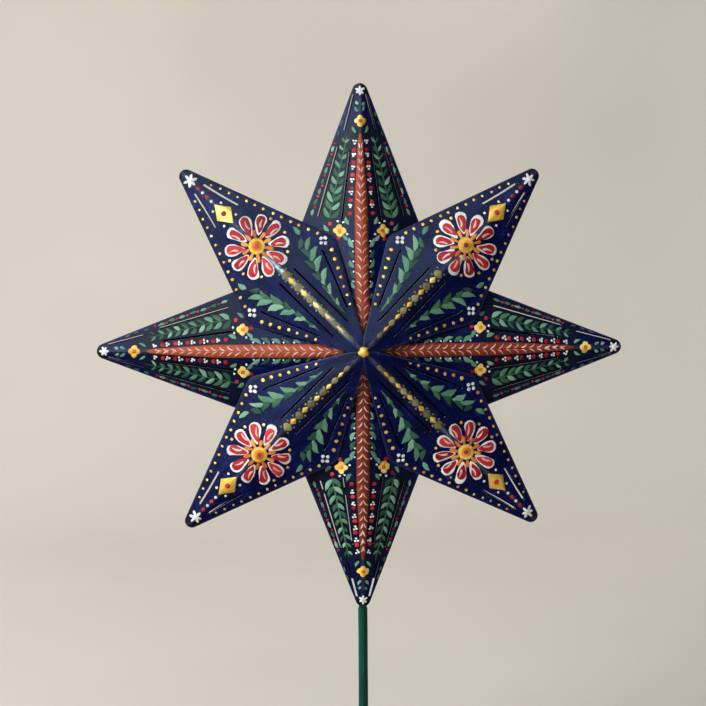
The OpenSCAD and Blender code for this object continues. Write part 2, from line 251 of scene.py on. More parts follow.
def add_object(name, data):
    """Object of the scene for a mesh, a lamp or a camera."""
    made = bpy.data.objects.new(name, data)
    bpy.context.scene.collection.objects.link(made)
    return made


def make_piece(name, points, faces, materials, kinds=None, uv=None, floats=None, sharp=0.6):
    """Mesh object at the origin from points and quads, with a UV map and float attributes per point."""
    mesh = bpy.data.meshes.new(name)
    mesh.vertices.add(len(points))
    mesh.vertices.foreach_set("co", points.astype(np.float32).ravel())
    mesh.loops.add(faces.size)
    mesh.loops.foreach_set("vertex_index", faces.ravel().astype(np.int32))
    mesh.polygons.add(len(faces))
    mesh.polygons.foreach_set("loop_start", np.arange(0, faces.size, 4, dtype=np.int32))
    if kinds is not None:
        mesh.polygons.foreach_set("material_index", kinds.astype(np.int32))
    mesh.update(calc_edges=True)
    if uv is not None:
        layer = mesh.uv_layers.new(name="paint")
        layer.data.foreach_set("uv", uv[faces.ravel()].astype(np.float32).ravel())
    for key, values in (floats or {}).items():
        layer = mesh.attributes.new(key, "FLOAT", "POINT")
        layer.data.foreach_set("value", values.astype(np.float32))
    for material in materials:
        mesh.materials.append(material)
    mesh.validate()
    mesh.shade_smooth()
    mesh.set_sharp_from_angle(angle=sharp)
    return add_object(name, mesh)


# Materials


class Nodes:
    """Short ways to add nodes to a material or world; each returns an output socket."""

    def __init__(self, owner):
        owner.use_nodes = True
        self.tree = owner.node_tree

    def node(self, kind, inputs=None, output=0, **settings):
        """Adds a node; inputs map a socket to a value or to another node's output socket."""
        made = self.tree.nodes.new(kind)
        for key, value in settings.items():
            setattr(made, key, value)
        for key, value in (inputs or {}).items():
            if isinstance(value, bpy.types.NodeSocket):
                self.tree.links.new(value, made.inputs[key])
            else:
                made.inputs[key].default_value = value
        return made.outputs[output]

    def math(self, operation, first, second):
        return self.node("ShaderNodeMath", {0: first, 1: second}, operation=operation)

    def mix(self, fac, first, second):
        return self.node("ShaderNodeMix", {"Factor": fac, 6: first, 7: second}, output=2, data_type="RGBA")

    def show(self, share, first, second, target):
        """Puts the mix of two shaders on the named output node."""
        mixed = self.node("ShaderNodeMixShader", {"Fac": share, 1: first, 2: second})
        self.tree.links.new(mixed, self.tree.nodes[target].inputs["Surface"])


class Finish(Nodes):
    """A material, with its nodes and its shader."""

    def __init__(self, name, roughness=0.5, specular=0.5, metallic=0.0):
        self.material = bpy.data.materials.new(name)
        super().__init__(self.material)
        self.shader = self.tree.nodes["Principled BSDF"]
        self.shader.inputs["Roughness"].default_value = roughness
        self.shader.inputs["Specular IOR Level"].default_value = specular
        self.shader.inputs["Metallic"].default_value = metallic

    def link(self, output, socket):
        self.tree.links.new(output, self.shader.inputs[socket])

    def coords(self, stretch=(1, 1, 1), painted=True):
        """The piece's own UV map in centimetres, or its own coordinates in metres, stretched."""
        if painted:
            own = self.node("ShaderNodeUVMap", uv_map="paint")
        else:
            own = self.node("ShaderNodeTexCoord", output="Object")
        return self.node("ShaderNodeMapping", {"Vector": own, "Scale": stretch})

    def noise(self, scale, stretch=(1, 1, 1), detail=4.0, distortion=0.0, painted=False):
        inputs = {"Vector": self.coords(stretch, painted), "Scale": scale, "Detail": detail}
        return self.node("ShaderNodeTexNoise", {**inputs, "Roughness": 0.55, "Distortion": distortion})

    def ramp(self, fac, *stops):
        """Colour ramp through pairs of a position and an sRGB colour."""
        made = self.node("ShaderNodeValToRGB", {"Fac": fac})
        elements = made.node.color_ramp.elements
        while len(elements) < len(stops):
            elements.new(1.0)
        for element, (position, colour) in zip(elements, stops):
            element.position = position
            element.color = srgb(*colour)
        return made

    def range(self, value, low, high, to_low=0.0, to_high=1.0):
        inputs = {"Value": value, "From Min": low, "From Max": high, "To Min": to_low, "To Max": to_high}
        return self.node("ShaderNodeMapRange", inputs)

    def times(self, first, second):
        return self.math("MULTIPLY", first, second)

    def plus(self, first, second):
        return self.math("ADD", first, second)

    def attribute(self, name):
        return self.node("ShaderNodeAttribute", output="Fac", attribute_name=name)

    def bump(self, height, strength, distance):
        inputs = {"Height": height, "Strength": strength, "Distance": distance}
        self.link(self.node("ShaderNodeBump", inputs), "Normal")


def navy_paint():
    """Brushed navy acrylic: streaks, thin patches, specks, a charcoal wash, and metal where it is worn."""
    finish = Finish("navy_paint", specular=0.06)
    streaks = finish.noise(1.6, (0.9, 7.0, 1.0), detail=7, distortion=0.6, painted=True)
    patches = finish.noise(0.9, detail=3, painted=True)
    tones = (0.30, (2, 4, 34)), (0.47, (5, 10, 56)), (0.58, (9, 18, 76)), (0.72, (30, 48, 114))
    ground = finish.ramp(finish.plus(finish.times(streaks, 0.6), finish.times(patches, 0.4)), *tones)
    cells = finish.node("ShaderNodeTexVoronoi", {"Vector": finish.coords(), "Scale": 6.0}, "Distance")
    sparse = finish.range(finish.noise(1.6, detail=1, painted=True), 0.50, 0.58)
    speck = finish.times(finish.range(cells, 0.20, 0.10), sparse)
    speckled = finish.mix(finish.times(speck, 0.6), ground, srgb(58, 84, 168))
    thin = finish.noise(2.6, (1.0, 2.2, 1.0), detail=5, distortion=0.8, painted=True)
    wash = finish.times(finish.attribute("wash"), finish.range(thin, 0.36, 0.60, 0.25, 0.95))
    washed = finish.mix(wash, speckled, srgb(17, 23, 25))
    rubbed = finish.noise(4.0, (1.2, 6.0, 1.0), detail=6, painted=True)
    wear = finish.times(finish.attribute("wear"), finish.range(rubbed, 0.36, 0.58))
    finish.link(finish.mix(wear, washed, srgb(176, 180, 178)), "Base Color")
    finish.link(finish.times(wear, 0.85), "Metallic")
    finish.link(finish.range(streaks, 0.3, 0.7, 0.28, 0.4), "Roughness")
    finish.bump(finish.plus(streaks, finish.times(patches, 0.5)), 0.35, 0.00025)
    return finish.material


def cut_edge():
    """Paint drawn thin over the cut edge of the sheet, and mostly bare metal in the slits."""
    finish = Finish("cut_edge")
    thin = finish.noise(420)
    colour = finish.ramp(thin, (0.4, (14, 15, 40)), (0.62, (30, 33, 70)), (0.75, (84, 88, 112)))
    bare = finish.times(finish.attribute("bare"), finish.range(thin, 0.36, 0.56, 0.5, 1.0))
    finish.link(finish.mix(bare, colour, srgb(204, 205, 204)), "Base Color")
    finish.link(finish.range(thin, 0.3, 0.8, 0.42, 0.65), "Roughness")
    return finish.material


def stroke_paint(colour, dark, middle, light):
    """Brushed-on ornament paint: streaks along each stroke, a tint per stroke, and flakes in gold."""
    gold = colour == "gold"
    look = {"roughness": 0.38, "metallic": 0.2} if gold else {"roughness": 0.46}
    finish = Finish(f"{colour}_paint", specular=0.12, **look)
    streaks = finish.noise(2.4, (1.4, 9.0, 1.0), detail=6, distortion=0.4, painted=True)
    mixed = finish.plus(finish.times(streaks, 0.62), finish.times(finish.attribute("tint"), 0.42))
    height = streaks
    if gold:
        flakes = finish.noise(2600, detail=2)
        mixed = finish.plus(mixed, finish.times(finish.math("SUBTRACT", flakes, 0.5), 0.5))
        height = finish.plus(streaks, flakes)
    finish.link(finish.ramp(mixed, (0.25, dark), (0.5, middle), (0.78, light)), "Base Color")
    finish.bump(height, 0.45, 0.0002)
    return finish.material


def stake_plastic():
    """Smooth green plastic coat with fine drawing lines along the stake and a few scuffs."""
    finish = Finish("stake_plastic", specular=0.15)
    lines = finish.noise(900, (1.0, 1.0, 0.03))
    clouds = finish.noise(70, (1.0, 1.0, 0.4), detail=3)
    blend = finish.plus(finish.times(lines, 0.5), finish.times(clouds, 0.5))
    tones = (0.3, (3, 49, 40)), (0.52, (5, 67, 54)), (0.75, (15, 90, 74))
    finish.link(finish.ramp(blend, *tones), "Base Color")
    finish.link(finish.range(clouds, 0.35, 0.7, 0.28, 0.5), "Roughness")
    finish.bump(lines, 0.2, 0.0001)
    return finish.material


def plain_finish(name, tones, scale, stretch=(1, 1, 1), detail=3, rough=None, bump=None, **look):
    """A finish whose colour, and roughness or bump, follow one noise on the piece's own coordinates."""
    finish = Finish(name, **look)
    clouds = finish.noise(scale, stretch, detail)
    finish.link(finish.ramp(clouds, *tones), "Base Color")
    if rough:
        finish.link(finish.range(clouds, *rough), "Roughness")
    if bump:
        finish.bump(clouds, *bump)
    return finish.material


# Dark, middle and light sRGB tone of each ornament paint
PAINT_TONES = {
    "rust": ((104, 38, 22), (152, 62, 36), (186, 88, 54)),
    "blush": ((196, 150, 142), (224, 188, 180), (242, 222, 216)),
    "sage": ((74, 118, 92), (98, 150, 120), (140, 182, 150)),
    "forest": ((28, 58, 44), (46, 88, 64), (78, 118, 84)),
    "olive": ((88, 84, 50), (124, 118, 74), (160, 152, 102)),
    "yellow": ((216, 164, 54), (240, 202, 92), (252, 230, 146)),
    "gold": ((190, 132, 36), (230, 182, 72), (252, 222, 130)),
    "red": ((128, 14, 26), (178, 28, 38), (208, 58, 60)),
    "orange": ((196, 92, 24), (226, 128, 40), (242, 168, 84)),
    "white": ((206, 206, 204), (234, 234, 232), (250, 250, 248)),
}

# Near-black dry paint inside the hollow star as painted shade of its hollow, drawn steel, and slightly
# yellowed nylon
INNER_SHADE_TONES = (0.35, (10, 10, 14)), (0.7, (24, 24, 30))
STEEL_TONES = (0.3, (120, 122, 124)), (0.7, (186, 188, 190))
NYLON_TONES = (0.3, (214, 206, 184)), (0.7, (236, 230, 212))
DRY = {"roughness": 0.85, "specular": 0.2}
DRAWN = {"stretch": (1, 0.05, 1), "rough": (0.3, 0.7, 0.3, 0.5), "metallic": 1.0}
# Inner finish: near-black, a painted shade of the hollow inside of the star
INNER_SHADE = plain_finish("inner_painted_shade", INNER_SHADE_TONES, 260, detail=5, bump=(0.3, 0.0002), **DRY)
STEEL = plain_finish("plain_steel", STEEL_TONES, 1200, **DRAWN)
NYLON = plain_finish("bush_nylon", NYLON_TONES, 300, bump=(0.1, 0.0001))

NAVY = navy_paint()
EDGE = cut_edge()
STAKE_GREEN = stake_plastic()
PAINTS = {colour: stroke_paint(colour, *tones) for colour, tones in PAINT_TONES.items()}


# Folded sheet rays


def ray_rows(fold, slotted):
    """Places of the grid's rows along a ray: even steps between the slits' ends, finer at the round end."""
    ends = [end for lane in fold.slits for cut in lane for end in cut]
    turn = np.linspace(math.pi / 2 - fold.half, 0.12, TIP_ROWS)
    tip = fold.reach - fold.tip_r + fold.tip_r * np.cos(turn)
    knots = [INNER_START, NOTCH_REACH, *ends, *tip]
    if slotted:
        bend = SLOT_START + SLOT_HALF * (1 - np.cos(np.linspace(0, math.pi / 2, 7)))
        knots = [knot for knot in (*knots, *bend) if knot < SLOT_CUT - 0.3] + [SLOT_CUT]
    knots = np.unique(np.round(knots, 3))
    parts = np.maximum(1, np.round(np.diff(knots) / ROW_STEP)).astype(int)
    steps = [np.linspace(low, high, n, endpoint=False) for low, high, n in zip(knots, knots[1:], parts)]
    return np.concatenate([*steps, knots[-1:]])


def slot_side(x):
    """Half width of the slot: nothing before it starts, a half circle, then straight sides."""
    bend = np.sqrt(np.maximum(SLOT_HALF**2 - np.maximum(SLOT_START + SLOT_HALF - x, 0) ** 2, 0))
    return np.where(x < SLOT_START, 0, bend)


def half_grid(fold, x, slip, slotted):
    """Distances from the ridge of one side's columns: even steps between the grid's lines.

    A slit's two lines stand half its width off its lane, moved by the slip; where the ray is too narrow for
    a slit they close up to a share of its width, so that the lines never cross.
    """
    width = fold.half_width(x)
    first, second = fold.lanes(x)
    half = np.minimum(SLIT_HALF, fold.thin * width)
    slip = np.clip(slip, -1.4 * half, 1.4 * half)
    if slotted:
        whole, side = x < SLOT_START, slot_side(x)
        first = np.where(whole, first, np.maximum(first, side + 1.1))
        second = np.where(whole, second, np.maximum(second, first + 1.2))
    near = np.minimum(0.5, 0.3 * (first - half + slip))
    far = np.minimum(1.4, 0.7 * (first - half + slip))
    if slotted:
        fade = np.clip((SLOT_START - x) / 4, 0.03, 1)
        near = np.where(whole, near * fade, np.maximum(side / 2, 0.015))
        far = np.where(whole, far * fade, np.maximum(side, 0.03))
    cuts = [first - half + slip, first + half + slip, second - half + slip, second + half + slip]
    edge = width - np.minimum(EDGE_ROUND, 0.05 * width)
    lines = np.stack([0 * x, near, far, *cuts, edge, width], axis=1)
    low = np.minimum(COLUMN_PLACES.astype(int), len(COLUMN_PARTS) - 1)
    return lines[:, low] + (COLUMN_PLACES - low) * (lines[:, low + 1] - lines[:, low])


def ray_grid(fold, slip, slotted):
    """Grid of a whole ray: x along it, y across it, and a mask without the slits' and the slot's cells."""
    x = ray_rows(fold, slotted)
    left = half_grid(fold, x, slip, slotted)
    right = half_grid(fold, x, -slip, slotted)
    y = np.concatenate([-right[:, :0:-1], left], axis=1)
    mask = np.ones((len(x) - 1, y.shape[1] - 1), bool)
    middle = (x[1:] + x[:-1]) / 2
    ridge = left.shape[1] - 1
    for line, cuts in zip(SLIT_LINES[::2], fold.slits):
        column = int(np.searchsorted(COLUMN_PLACES, line))
        for start, stop in cuts:
            cut = (middle > start) & (middle < stop) & ~(slotted & (middle > SLOT_WHOLE))
            mask[cut, ridge + column] = mask[cut, ridge - column - 1] = False
    if slotted:
        mask[middle > SLOT_START, ridge - 2 : ridge + 2] = False
    return np.broadcast_to(x[:, None], y.shape), y, mask


def slit_slip(fold, angle, side):
    """Shift across a ray of its slits, to its left seen from the front: only back main rays have one."""
    turn = math.radians(angle)
    return BACK_SLIT_SHIFT * (math.cos(turn) + math.sin(turn)) if fold is MainFold and side < 0 else 0.0


def ray_marks(fold, x, y, worn):
    """Floats per point of a ray: wear on its fold and rim, charcoal wash, and bare metal in its slits."""
    inset = fold.half_width(x) - np.abs(y)
    ridge = np.exp(-((y / 0.7) ** 2)) * np.interp(x, [6, 14, 46, 56, 90], [0.2, worn, worn, 0.25, 0.1])
    rim = 0.15 * np.exp(-((inset / 0.25) ** 2))
    if fold is MainFold:
        wash = np.interp(x, [44, 55, 88, 98], [0, 1, 1, 0]) * np.clip(inset / 3, 0, 1)
    else:
        wash = np.interp(x, [8, 14, 42, 50], [0, 0.8, 0.8, 0]) * np.exp(-((y / 3.4) ** 2))
    # Towards the round tip of every ray the ground turns charcoal.
    tip = 0.9 * np.clip((x - fold.reach + 6) / 3.5, 0, 1)
    bare = np.zeros(y.shape)
    columns = np.searchsorted(COLUMN_PLACES, SLIT_LINES)
    bare[:, np.concatenate([-columns, columns]) + y.shape[1] // 2] = 1
    marks = {"wear": np.maximum(ridge, rim), "wash": np.maximum(wash, tip), "bare": bare}
    return {key: np.tile(values.ravel(), 2) for key, values in marks.items()}


def make_ray(name, fold, angle, side, worn):
    """A folded sheet ray as one closed piece that stands for its CAD node."""
    slotted = name == "back_main_ray_bottom"
    x, y, mask = ray_grid(fold, slit_slip(fold, angle, side), slotted)
    inset = fold.half_width(x) - np.abs(y)
    w = outer_height(fold, x, y) - EDGE_DROP * np.clip(1 - inset / EDGE_ROUND, 0, 1)
    under = np.maximum(w - fold.lift, 0)
    points, faces, kinds = closed_sheet(
        place(x, y, w, angle, side)[None], place(x, y, under, angle, side)[None], mask
    )
    flat = np.stack([x.ravel(), y.ravel()], axis=1) / PAINT_UNIT
    uv = np.concatenate([flat, flat]) + RNG.uniform(0, PAINT_SPREAD, 2)
    marks = ray_marks(fold, x, y, worn)
    # The inner faces take the near-black inner finish: painted shade of the hollow star
    piece = make_piece(f"{name}_sheet", points, faces[:, ::side], [NAVY, INNER_SHADE, EDGE], kinds, uv, marks)
    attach(piece, "star")
    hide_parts(name)


RIDGE_WEAR = {"upper_left": 0.95, "lower_right": 0.45}
for side_name, side in SIDES.items():
    for way, angle in WAYS_MAIN.items():
        make_ray(f"{side_name}_main_ray_{way}", MainFold, angle, side, 0.1)
    for way, angle in WAYS_DIAGONAL.items():
        make_ray(f"{side_name}_diagonal_ray_{way}", DiagonalFold, angle, side, RIDGE_WEAR.get(way, 0.15))


# Painted ornaments

# How loosely strokes are laid: spread of their turn in radians, of their size and of their place
HAND_TURN = 0.07
HAND_GROW = 0.07
HAND_SHIFT = 0.12

# Heights of a stroke over the sheet: its edge, each layer it lies on, and how deep its foot is sunk
STROKE_EDGE = 0.02
STROKE_LAYER = 0.09
STROKE_FOOT = 0.05

BAND_HALF = 2.8
BAND_END = 88.0
CROSS = np.array([(-1, 0), (1, 0), (0, -1), (0, 1)])

# Shares of the way along a stroke, closer at its ends, and its half width there
STEPS = (1 - np.cos(np.linspace(0, math.pi, 9))) / 2
PROFILES = {
    "leaf": np.sin(math.pi * STEPS**0.85) ** 0.9,
    "comma": STEPS**0.4 * (1 - STEPS) ** 0.9 * 2.05,
    "petal": STEPS**0.6 * np.sqrt(1 - STEPS**5) * 1.15,
    "dot": 2 * np.sqrt(STEPS * (1 - STEPS)),
    "line": np.minimum(1, 6 * np.sqrt(STEPS * (1 - STEPS)) / 2),
    "lozenge": 1 - np.abs(2 * STEPS - 1),
}


def pairs(x, y):
    """Points from places along a ray and places across it."""
    return np.stack(np.broadcast_arrays(np.asarray(x, float), y), axis=1)


def bowed(start, stop, bow=0.0):
    """Paths between points: parabolas whose middle stands off to the left by a share of their length."""
    ends = (np.atleast_2d(np.asarray(end, float)) for end in (start, stop))
    start, stop = np.broadcast_arrays(*ends)
    along = (stop - start)[:, None]
    across = np.stack([-along[..., 1], along[..., 0]], axis=-1)
    s = STEPS[None, :, None]
    return start[:, None] + along * s + across * bow * 4 * s * (1 - s)


def reach_from(start, turn, length):
    """End points at a length and a direction in degrees from start points."""
    turn, length = np.radians(turn), np.asarray(length)
    return start + np.stack([np.cos(turn) * length, np.sin(turn) * length], axis=-1)


def sprout(root, turn, length, bow):
    """Bowed paths that leave root points in a direction in degrees."""
    return bowed(root, reach_from(root, turn, length), bow)


def radial(middle, turn, low, high, bow=0.0):
    """Bowed paths that run away from a middle between two radii, in directions in degrees."""
    return bowed(reach_from(middle, turn, low), reach_from(middle, turn, high), bow)


def curve(ends, s):
    """Points of the parabola with three control points, at shares of the way."""
    s = np.asarray(s)[:, None]
    return ends[0] * (1 - s) ** 2 + ends[1] * 2 * s * (1 - s) + ends[2] * s**2


class Brush:
    """Strokes painted on one kind of ray, kept as paths and half widths."""

    def __init__(self, fold):
        self.fold = fold
        self.strokes = []

    def at(self, x, share):
        """Points at places along the ray and at a share of its half width."""
        x = np.asarray(x, float)
        return pairs(x, self.fold.half_width(x) * share)

    def lean(self, share):
        """Direction in degrees of the line at a share of the ray's half width."""
        return -math.degrees(math.atan(share * math.tan(self.fold.half)))

    def paint(self, colour, path, width, profile=None, layer=0, columns=3, on_ridge=False, crown=0.12):
        """Adds strokes: once and laid steadily on the ridge, or else also mirrored at its other side."""
        shape = 1.0 if profile is None else PROFILES[profile][None]
        width = np.reshape(width, (-1, 1)) if np.ndim(width) < 2 else width
        half = np.broadcast_to(width, path.shape[:2]) * shape
        for sign in (1,) if on_ridge else (1, -1):
            self.strokes.append((colour, path * [1, sign], half, layer, columns, on_ridge, crown))

    def ridge(self, colour, path, width, profile=None, crown=0.12):
        """Strokes with a fine grid on the ridge itself."""
        self.paint(colour, path, width, profile, columns=5, on_ridge=True, crown=crown)

    def leaves(self, colours, paths, width, layer=0):
        """Leaf strokes that take turns between two colours."""
        width = np.broadcast_to(width, len(paths))
        for first, colour in enumerate(colours):
            self.paint(colour, paths[first::2], width[first::2], "leaf", layer)

    def dots(self, colour, centres, radius, layer=0, columns=3, on_ridge=False):
        """Round dabs, each a short stroke whose half width follows a half circle."""
        centres = np.atleast_2d(centres)
        size = np.broadcast_to(radius, len(centres))
        path = bowed(centres - pairs(size, 0), centres + pairs(size, 0))
        self.paint(colour, path, size, "dot", layer, columns, on_ridge, crown=0.11)

    def ridge_dots(self, colour, places, radius, layer=0):
        """Round dabs with a fine grid on the ridge itself."""
        self.dots(colour, pairs(places, 0), radius, layer, columns=5, on_ridge=True)


def clear_of_slot(x, y):
    """True where the lowest back ray has sheet to paint on: beside its slot and short of its cut end."""
    return (x < SLOT_CUT - 0.8) & ((x < SLOT_START - 0.6) | (np.abs(y) > slot_side(x) + 0.5))


def beside_slits(fold, x, y):
    """Share of the slits' shift that a stroke follows: all of it between long slits, none near the ridge."""
    share = np.abs(y) / np.maximum(fold.half_width(x), 0.1)
    return np.clip((share - 0.11) / 0.06, 0, 1) * np.interp(x, [46, 52, 83, 86], [0, 1, 1, 0])


def loosened(path, loose):
    """Paths turned, grown and shifted a little about their middles by a hand; loose is 1, or 0 for none."""
    count = len(path)
    reach = np.linalg.norm(path[:, -1] - path[:, 0], axis=-1, keepdims=True)
    turn = RNG.normal(0, HAND_TURN, (count, 1)) * loose * np.minimum(1, 6 / np.maximum(reach, 1))
    grow = 1 + RNG.normal(0, HAND_GROW, (count, 1, 1)) * loose
    middle = path.mean(axis=1, keepdims=True)
    x, y = np.moveaxis((path - middle) * grow, -1, 0)
    cos, sin = np.cos(turn), np.sin(turn)
    off = np.stack([x * cos - y * sin, x * sin + y * cos], axis=-1)
    return middle + off + RNG.normal(0, HAND_SHIFT, (count, 1, 2)) * loose


def lay_strokes(brush, angle, side, slotted, kept):
    """Lays strokes on a ray's facets: each a thin crowned pad across its path, a little uneven.

    Across a stroke, t runs from -1 to 1; its top stands edge + crown sqrt(1 - t^2) above the sheet.
    """
    fold = brush.fold
    slip = slit_slip(fold, angle, side)
    for colour, path, half, layer, columns, on_ridge, crown in brush.strokes:
        count, steps = half.shape
        loose = 0.0 if on_ridge else 1.0
        line = loosened(path, loose)
        line[..., 1] += slip * beside_slits(fold, line[..., 0], line[..., 1])
        ahead = np.gradient(line, axis=1)
        length = np.linalg.norm(ahead, axis=-1)
        normal = np.stack([-ahead[..., 1], ahead[..., 0]], axis=-1) / np.maximum(length, 1e-9)[..., None]
        t = np.linspace(-1, 1, columns)
        phase = RNG.uniform(0, 2 * math.pi, (count, 1, 2))
        s = np.linspace(0, 1, steps)[None, :, None]
        uneven = 1 + 0.12 * loose * np.sin(7 * s + phase) + 0.06 * loose * np.sin(15 * s + 2 * phase)
        wide = np.where(t > 0, uneven[..., :1], uneven[..., 1:]) * (half + 0.03)[..., None] * t
        flat = line[:, :, None] + normal[:, :, None] * wide[..., None]
        x, y = flat[..., 0], flat[..., 1]
        if slotted:
            sound = clear_of_slot(x, y).all(axis=(1, 2))
            x, y, wide, half, length = (part[sound] for part in (x, y, wide, half, length))
            count = len(x)
        if not count:
            continue
        sheet = outer_height(fold, x, y)
        body = np.minimum(1, half / np.maximum(half.max(axis=1, keepdims=True), 1e-9))
        dome = crown * (np.sqrt(1 - t**2) * np.sqrt(body)[..., None])
        top = sheet + STROKE_EDGE + STROKE_LAYER * layer + dome
        outer, inner = (place(x, y, w, angle, side) for w in (top, sheet - STROKE_FOOT))
        points, faces, _ = closed_sheet(outer, inner, np.ones((steps - 1, columns - 1), bool))
        run = np.cumsum(length, axis=1)[..., None] + 0 * wide
        uv = np.stack([run, wide], axis=-1) / PAINT_UNIT + RNG.uniform(0, PAINT_SPREAD, (count, 1, 1, 2))
        uv = np.concatenate([uv.reshape(count, -1, 2)] * 2, axis=1).reshape(-1, 2)
        tint = np.repeat(RNG.uniform(0, 1, count), 2 * steps * columns)
        kept.setdefault(colour, []).append((points, faces[:, ::side], uv, tint))


def snowflake(brush, x, size, width):
    """Three strokes that cross on the ridge, with a dot at their middle."""
    brush.paint("white", bowed([(x - size, 0)], [(x + size, 0)]), width, "line", on_ridge=True)
    arm = np.array([0.5, 0.87]) * size
    brush.paint("white", bowed([(x, 0)] - arm, [(x, 0)] + arm), width, "line", layer=1)
    brush.dots("white", [(x, 0)], width * 1.5, layer=2, on_ridge=True)


def band_half(x, end):
    """Half width of the band on a main ridge: it swells from the centre, thins out and closes at its end."""
    swell = np.interp(x, [8, 18, 60, 88], [0.6, 1.0, 0.92, 0.3])
    return BAND_HALF * swell * np.clip((end - x) / 3, 0.1, 1) ** 0.5


def main_ornaments(band_end):
    """Main rays: a bound band on the ridge, laurel sprigs between the slits, berries and quatrefoils."""
    brush = Brush(MainFold)
    x = np.linspace(8, band_end, 49)
    brush.ridge("rust", pairs(x, 0)[None], band_half(x, band_end)[None], crown=0.14)
    x = np.arange(9.5, band_end - 3, 3.3)
    edge = band_half(x + 2.2, band_end) * 0.86
    brush.paint("blush", bowed(pairs(x, 0.3), pairs(x + 2.4, edge), -0.14), 0.25, "leaf", layer=1)

    brush.paint("forest", bowed(brush.at([52.5], 0.55), brush.at([88], 0.52)), 0.28, "line")
    x = np.arange(54, 87, 3.4)
    size = np.interp(x, [54, 87], [4.9, 2.3])
    root = brush.at(x, 0.545)
    for colours, turn, bow in ((("sage", "forest"), 38, 0.10), (("forest", "sage"), -38, -0.10)):
        leaf = sprout(root, brush.lean(0.54) + turn, size, bow)
        brush.leaves(colours, leaf, size * 0.2, layer=1)

    x = np.arange(55, 83, 4.3)
    edge_lean = brush.lean(0.875)
    brush.leaves(("sage", "forest"), sprout(brush.at(x, 0.875), edge_lean, 2.9, 0.06), 0.55)
    brush.dots("red", brush.at(x + 3.6, 0.875), 0.5)

    x = np.arange(55.5, 82, 5.2)
    brush.dots("red", brush.at(x, 0.205), 0.85)
    triad = brush.at(x + 2.6, 0.205)
    brush.dots("white", np.concatenate([triad, triad + [1.0, 0.45], triad + [0.9, -0.55]]), 0.42)

    brush.dots("yellow", [48.6, 8.8] + 1.3 * CROSS, 1.25, columns=5)
    brush.dots("orange", [48.6, 8.8], 0.9, layer=1)
    brush.ridge_dots("yellow", [91.95, 94.45], 1.2)
    brush.dots("yellow", [93.2, 1.25], 1.2)
    brush.ridge_dots("orange", [93.2], 0.864, layer=1)
    root = [(44.6, 5.2), (48.5, 13.2), (51.2, 5.0)]
    brush.paint("sage", sprout(root, [40, 35, 25], 3.4, 0.12), 0.75, "leaf")
    brush.dots("red", [(51.4, 12.6), (45.2, 9.6)], 0.8)
    brush.dots("white", [(52.4, 9.6), (51.9, 7.4), (47.2, 5.6)], 0.45)

    x = np.arange(17, 43, 4.1)
    size = np.interp(x, [17, 30, 43], [1.6, 3.9, 4.6])
    brush.leaves(("sage", "forest"), sprout(pairs(x, 3.0), 27, size, 0.14), size * 0.19)
    brush.dots("white", pairs(x[2:] + 2.6, 3.5), 0.36)

    root = [(88.6, 1.6), (97.2, 0.9), (99.8, 0.7)]
    brush.paint("sage", sprout(root, 28, [3.2, 2.4, 1.9], 0.12), 0.55, "leaf")
    root = brush.at([87.5, 91.5, 95], 0.88)
    brush.paint("forest", sprout(root, edge_lean, 2.3, 0.05), 0.36, "leaf")
    snowflake(brush, 105.7, 2.0, 0.44)
    return brush


